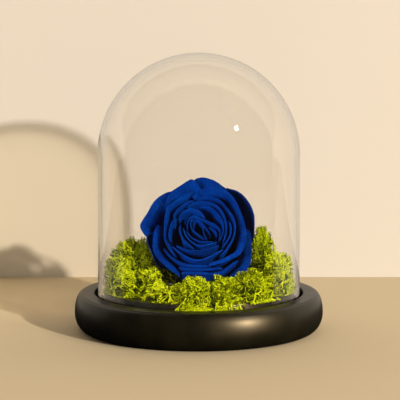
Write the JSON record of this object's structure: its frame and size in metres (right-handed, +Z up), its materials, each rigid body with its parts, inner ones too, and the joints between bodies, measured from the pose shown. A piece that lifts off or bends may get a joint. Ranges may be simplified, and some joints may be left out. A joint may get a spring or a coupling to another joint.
{
  "type": "preserved rose in glass dome",
  "caption": "Blue preserved rose on reindeer moss under a clear glass bell, standing on a black turned base with a groove for the glass.",
  "frame": {"origin": "centre of the base's flat underside", "axes": "+Z up along the axis of the base and the glass, -Y the way the rose faces, +X the viewer's right"},
  "size_m": [0.1236, 0.1236, 0.139],
  "materials": {
    "black_lacquer": "satin",
    "clear_glass": "polished",
    "blue_petal": "matte",
    "rose_green": "matte",
    "reindeer_moss": "matte"
  },
  "bodies": {
    "root": {"base": "black_lacquer", "glass_dome": "clear_glass", "moss_back": "reindeer_moss", "moss_back_left": "reindeer_moss", "moss_back_right": "reindeer_moss", "moss_front": "reindeer_moss", "moss_front_left": "reindeer_moss", "moss_front_right": "reindeer_moss", "moss_left_edge": "reindeer_moss", "moss_left_middle": "reindeer_moss", "moss_right": "reindeer_moss", "moss_right_edge": "reindeer_moss", "moss_right_middle": "reindeer_moss", "moss_right_tall": "reindeer_moss", "moss_under_bloom": "reindeer_moss", "petal_01": "blue_petal", "petal_02": "blue_petal", "petal_03": "blue_petal", "petal_04": "blue_petal", "petal_05": "blue_petal", "petal_06": "blue_petal", "petal_07": "blue_petal", "petal_08": "blue_petal", "petal_09": "blue_petal", "petal_10": "blue_petal", "petal_11": "blue_petal", "petal_12": "blue_petal", "petal_13": "blue_petal", "petal_14": "blue_petal", "petal_15": "blue_petal", "petal_16": "blue_petal", "petal_17": "blue_petal", "petal_18": "blue_petal", "petal_19": "blue_petal", "petal_20": "blue_petal", "petal_21": "blue_petal", "petal_22": "blue_petal", "petal_23": "blue_petal", "petal_24": "blue_petal", "petal_25": "blue_petal", "petal_26": "blue_petal", "petal_27": "blue_petal", "petal_28": "blue_petal", "petal_29": "blue_petal", "sepal_1": "rose_green", "sepal_2": "rose_green", "sepal_3": "rose_green", "sepal_4": "rose_green", "sepal_5": "rose_green", "stem": "rose_green"}
  },
  "joints": []
}
